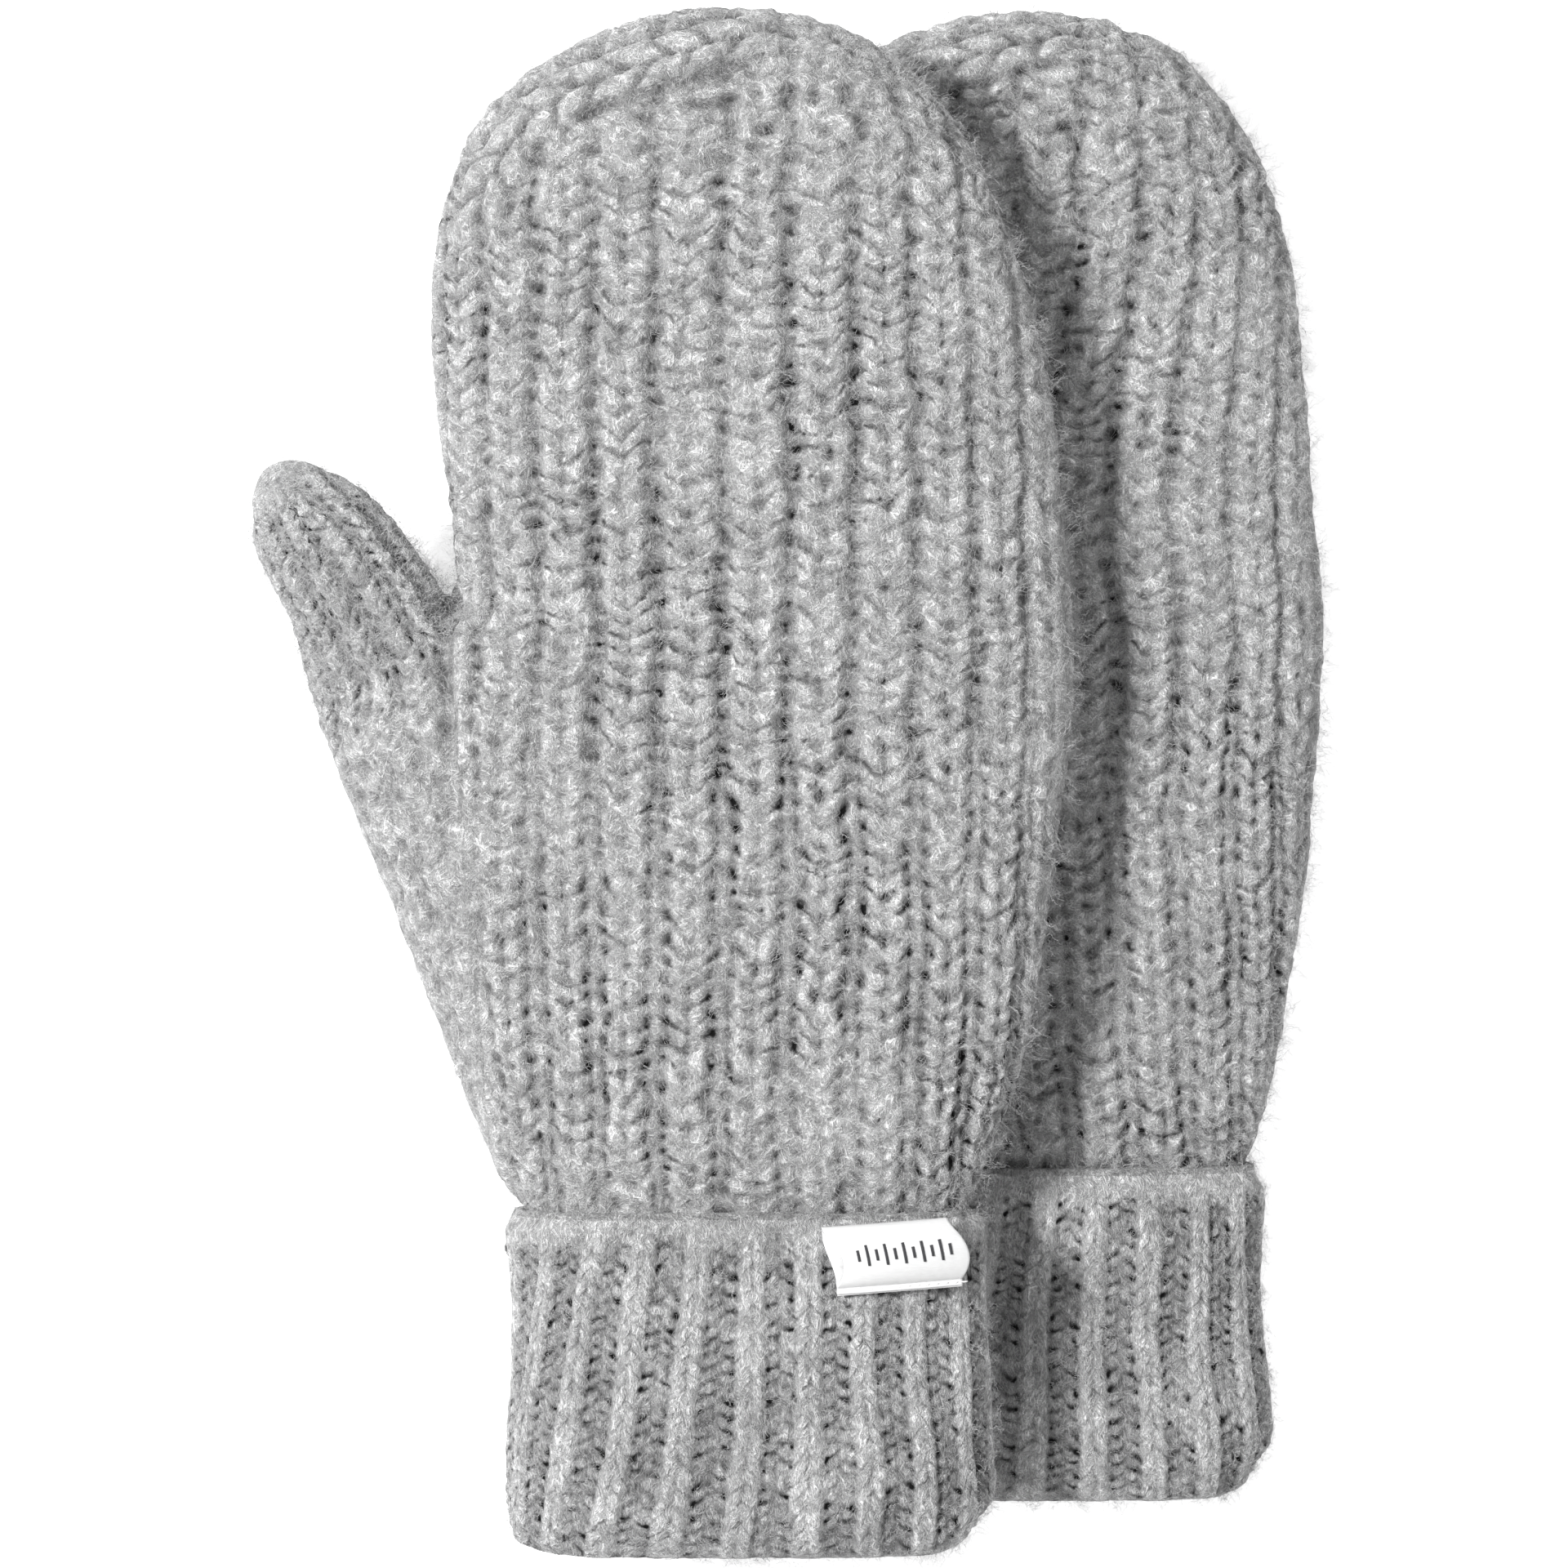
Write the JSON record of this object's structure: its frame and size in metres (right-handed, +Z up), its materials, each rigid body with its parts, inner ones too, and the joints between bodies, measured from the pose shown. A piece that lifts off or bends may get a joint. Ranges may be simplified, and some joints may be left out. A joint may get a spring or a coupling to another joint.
{
  "type": "pair of knitted mittens",
  "caption": "Pair of thick brushed wool mittens in wide rib, with turned-up ribbed cuffs and a folded satin label, lying one on the other.",
  "frame": {"origin": "middle of the footprint, on the surface that the lower mitten lies on", "axes": "+X across the hands, away from the thumbs; +Y from the cuffs to the fingertips; +Z up from the surface"},
  "size_m": [0.1805, 0.2626, 0.0524],
  "materials": {
    "wool_knit": "brushed heather wool in wide rib",
    "wool_rib": "brushed heather wool in fine rib",
    "wool_yarn": "fuzzy spun yarn",
    "fleece": "soft short-pile fleece",
    "satin_label": "woven satin ribbon",
    "sewing_thread": "twisted polyester thread"
  },
  "bodies": {
    "left_hand": {"left_hand_shell": "wool_knit", "left_lining_hand": "fleece", "left_inner_cuff": "wool_rib", "left_crown_gather": "wool_yarn", "left_lining_stitch": "sewing_thread"},
    "left_thumb": {"left_thumb_shell": "wool_knit", "left_lining_thumb": "fleece", "left_thumb_gather": "wool_yarn"},
    "left_cuff": {"left_turned_cuff": "wool_rib"},
    "right_hand": {"right_hand_shell": "wool_knit", "right_lining_hand": "fleece", "right_inner_cuff": "wool_rib", "right_crown_gather": "wool_yarn", "right_lining_stitch": "sewing_thread"},
    "right_thumb": {"right_thumb_shell": "wool_knit", "right_lining_thumb": "fleece", "right_thumb_gather": "wool_yarn"},
    "right_cuff": {"right_turned_cuff": "wool_rib", "right_label": "satin_label", "right_label_stitch": "sewing_thread"}
  },
  "joints": [
    {"name": "right_mitten_lift", "type": "slide", "parent": "left_hand", "child": "right_hand", "axis": [0, 0, 1], "range_m": [0, 0.12]},
    {"name": "left_thumb_swing", "type": "hinge", "parent": "left_hand", "child": "left_thumb", "pos_m": [-0.02279, 0.02061, 0.0125], "axis": [0, 0, 1], "range_deg": [-10, 20]},
    {"name": "right_thumb_swing", "type": "hinge", "parent": "right_hand", "child": "right_thumb", "pos_m": [-0.06739, 0.01571, 0.0379], "axis": [0, 0, 1], "range_deg": [-10, 20]},
    {"name": "left_cuff_unroll", "type": "slide", "parent": "left_hand", "child": "left_cuff", "axis": [0, -1, 0], "range_m": [0, 0.048]},
    {"name": "right_cuff_unroll", "type": "slide", "parent": "right_hand", "child": "right_cuff", "axis": [0, -1, 0], "range_m": [0, 0.048]}
  ]
}
